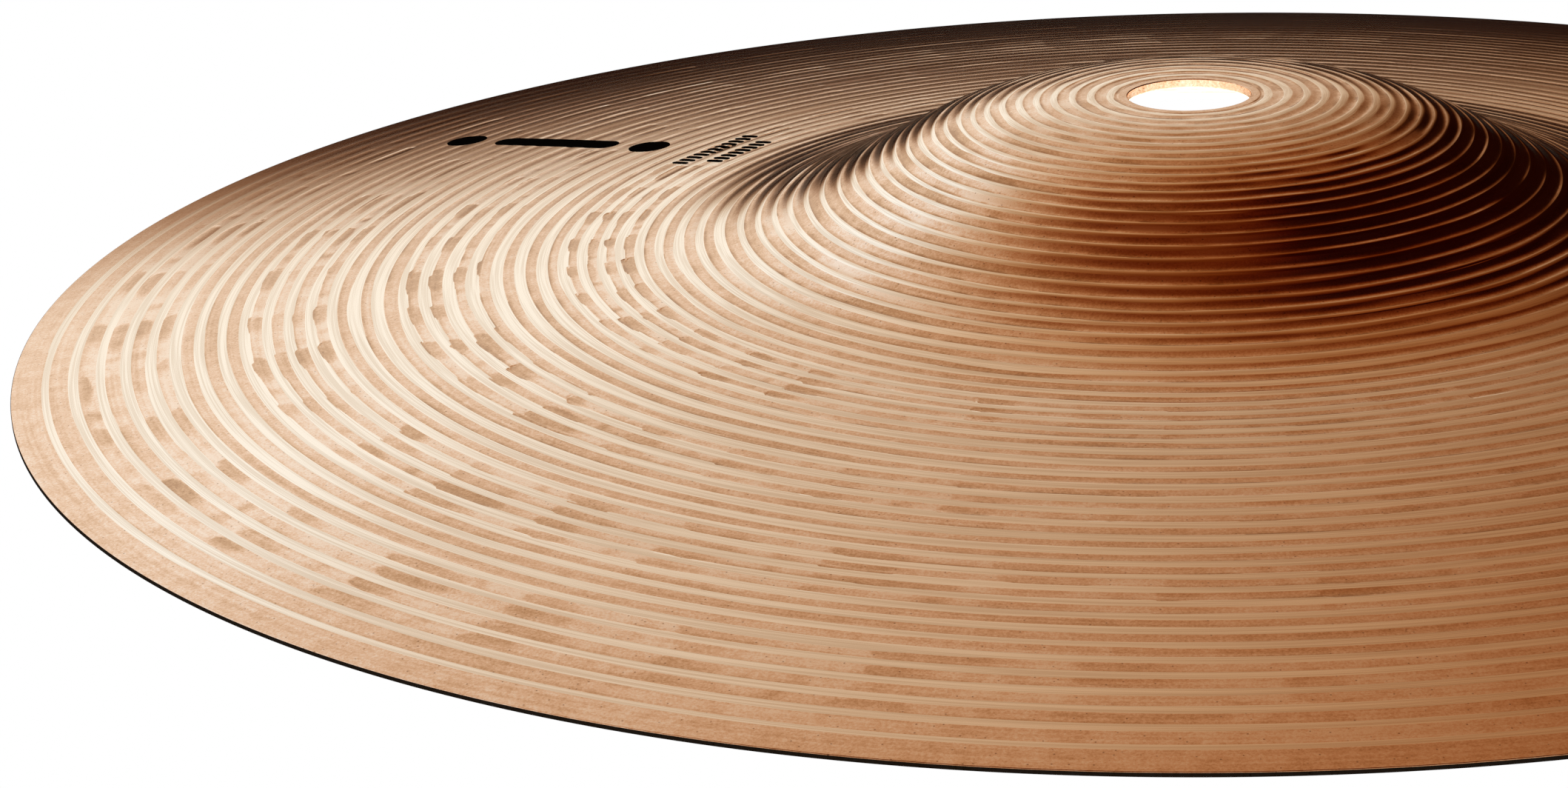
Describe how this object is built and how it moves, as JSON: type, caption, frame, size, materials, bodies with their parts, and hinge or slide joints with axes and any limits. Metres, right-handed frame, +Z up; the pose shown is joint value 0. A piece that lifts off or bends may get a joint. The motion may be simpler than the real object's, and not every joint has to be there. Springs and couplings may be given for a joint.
{
  "type": "splash cymbal",
  "caption": "Small thin turned bronze cymbal with a domed bell, a shallow bow, a centre hole and a plain printed mark.",
  "frame": {"origin": "on the bore's axis, in the plane of the rim's lower edge that the cymbal rests on", "axes": "+Z up along the bore's axis, out of the bell; the printed mark lies 148 degrees round from +X towards +Y"},
  "size_m": [0.254, 0.254, 0.0223],
  "materials": {
    "bronze": "turned tin bronze: bright lathe cuts between dull lands, hammered bow",
    "ink": "thin black printed ink"
  },
  "bodies": {
    "root": {"cymbal": "bronze", "printed_dot_outer": "ink", "printed_bar": "ink", "printed_dot_inner": "ink", "printed_row_outer": "ink", "printed_row_inner": "ink"}
  },
  "joints": []
}
